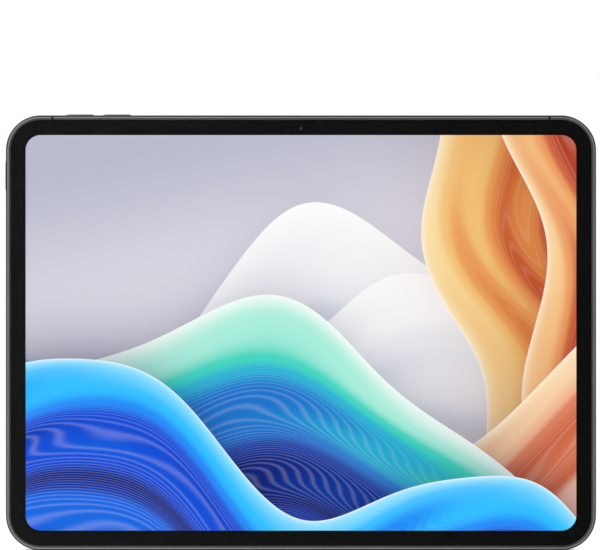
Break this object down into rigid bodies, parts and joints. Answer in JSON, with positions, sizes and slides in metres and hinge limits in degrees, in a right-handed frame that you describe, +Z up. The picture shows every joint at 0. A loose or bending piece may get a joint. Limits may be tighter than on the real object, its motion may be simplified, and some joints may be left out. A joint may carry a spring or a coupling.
{
  "type": "tablet computer",
  "caption": "Thin landscape tablet computer with a lit screen under glass, a metal case with a rear glass strip and a round camera, sprung side keys and a pull-out card tray.",
  "frame": {"origin": "middle of the lower long edge's flat side face, midway through the body's thickness", "axes": "+X along the long edges to the right as seen from the screen side, +Y out of the rear, +Z up from the lower long edge to the one with the volume keys; the screen faces -Y"},
  "size_m": [0.2556, 0.0081, 0.1886],
  "materials": {
    "case_metal": "fine blasted and anodised, graphite grey",
    "edge_metal": "polished chamfer, light graphite grey",
    "rear_glass": "glossy glass with a dark coating behind it",
    "cover_glass": "clear glossy cover glass",
    "mask_ink": "black printed border film",
    "display": "lit screen showing soft coloured waves",
    "optic_sheet": "translucent white sheet",
    "black_plastic": "fine matte moulded plastic",
    "insert_plastic": "matte dark plastic in the antenna breaks",
    "seal_rubber": "soft black sealing strip",
    "sheet_steel": "pressed sheet, light grain",
    "screw_steel": "turned and passivated",
    "board": "solder-masked board with tracks",
    "flex": "amber flexible circuit",
    "cell_pouch": "wrapped foil pouch",
    "cell_wrap": "black film",
    "graphite": "soft graphite sheet",
    "switch_plastic": "moulded switch plunger",
    "camera_metal": "turned ring with a polished bevel",
    "cone_metal": "black, turned with fine rings",
    "lens_glass": "coated dark lens",
    "port_metal": "deep-drawn shell",
    "phosphor": "yellow phosphor strip"
  },
  "bodies": {
    "case": {"rear_housing": "case_metal", "rear_glass_strip": "rear_glass", "strip_carrier": "black_plastic", "antenna_insert_left": "insert_plastic", "antenna_insert_right": "insert_plastic", "front_glass": "cover_glass", "bezel_mask": "mask_ink", "front_gasket": "seal_rubber", "display_cell": "display", "diffuser_sheet": "optic_sheet", "reflector_sheet": "optic_sheet", "backlight_pan": "sheet_steel", "light_guide": "optic_sheet", "led_strip": "phosphor", "display_flex": "flex", "battery_cell_left": "cell_pouch", "battery_cell_right": "cell_pouch", "battery_board": "cell_wrap", "main_board": "board", "processor_shield": "sheet_steel", "power_shield": "sheet_steel", "graphite_sheet": "graphite", "port_board": "board", "interconnect_flex": "flex", "board_screw_left": "screw_steel", "board_screw_right": "screw_steel", "port_screw_lower": "screw_steel", "port_screw_upper": "screw_steel", "camera_ring": "camera_metal", "camera_cover_glass": "cover_glass", "camera_cone": "cone_metal", "camera_barrel": "black_plastic", "camera_lens": "lens_glass", "camera_module": "black_plastic", "front_camera_module": "black_plastic", "front_camera_lens": "lens_glass", "volume_up_switch_body": "sheet_steel", "volume_down_switch_body": "sheet_steel", "power_switch_body": "sheet_steel", "volume_key_flex": "flex", "power_key_flex": "flex", "volume_key_bracket": "sheet_steel", "power_key_bracket": "sheet_steel", "usb_c_shell": "port_metal", "usb_c_tongue": "black_plastic", "speaker_left_lower": "black_plastic", "speaker_left_upper": "black_plastic", "speaker_right_lower": "black_plastic", "speaker_right_upper": "black_plastic", "card_socket": "sheet_steel"},
    "power_key_body": {"power_key": "edge_metal", "power_switch_plunger": "switch_plastic"},
    "volume_up_key_body": {"volume_up_key": "edge_metal", "volume_up_switch_plunger": "switch_plastic"},
    "volume_down_key_body": {"volume_down_key": "edge_metal", "volume_down_switch_plunger": "switch_plastic"},
    "card_tray_body": {"card_tray": "case_metal"},
    "eject_rod_body": {"eject_rod": "sheet_steel"},
    "eject_lever_body": {"eject_lever": "sheet_steel"}
  },
  "joints": [
    {"name": "power_key_press", "type": "slide", "parent": "case", "child": "power_key_body", "axis": [1, 0, 0], "range_m": [0, 0.0003], "stiffness_N_per_m": 1200, "springref_m": -0.0003},
    {"name": "volume_up_press", "type": "slide", "parent": "case", "child": "volume_up_key_body", "axis": [0, 0, -1], "range_m": [0, 0.0003], "stiffness_N_per_m": 1200, "springref_m": -0.0003},
    {"name": "volume_down_press", "type": "slide", "parent": "case", "child": "volume_down_key_body", "axis": [0, 0, -1], "range_m": [0, 0.0003], "stiffness_N_per_m": 1200, "springref_m": -0.0003},
    {"name": "card_tray_slide", "type": "slide", "parent": "case", "child": "card_tray_body", "axis": [1, 0, 0], "range_m": [0, 0.022]},
    {"name": "eject_rod_slide", "type": "slide", "parent": "case", "child": "eject_rod_body", "axis": [-1, 0, 0], "range_m": [0, 0.0012]},
    {"name": "eject_lever_turn", "type": "hinge", "parent": "case", "child": "eject_lever_body", "pos_m": [0.103, 0.0004, 0.1608], "axis": [0, 1, 0], "range_deg": [0, 15.7]}
  ],
  "couplings": [
    {"joint": "eject_lever_turn", "follows": "eject_rod_slide", "rad_per_m": 227.27}
  ]
}
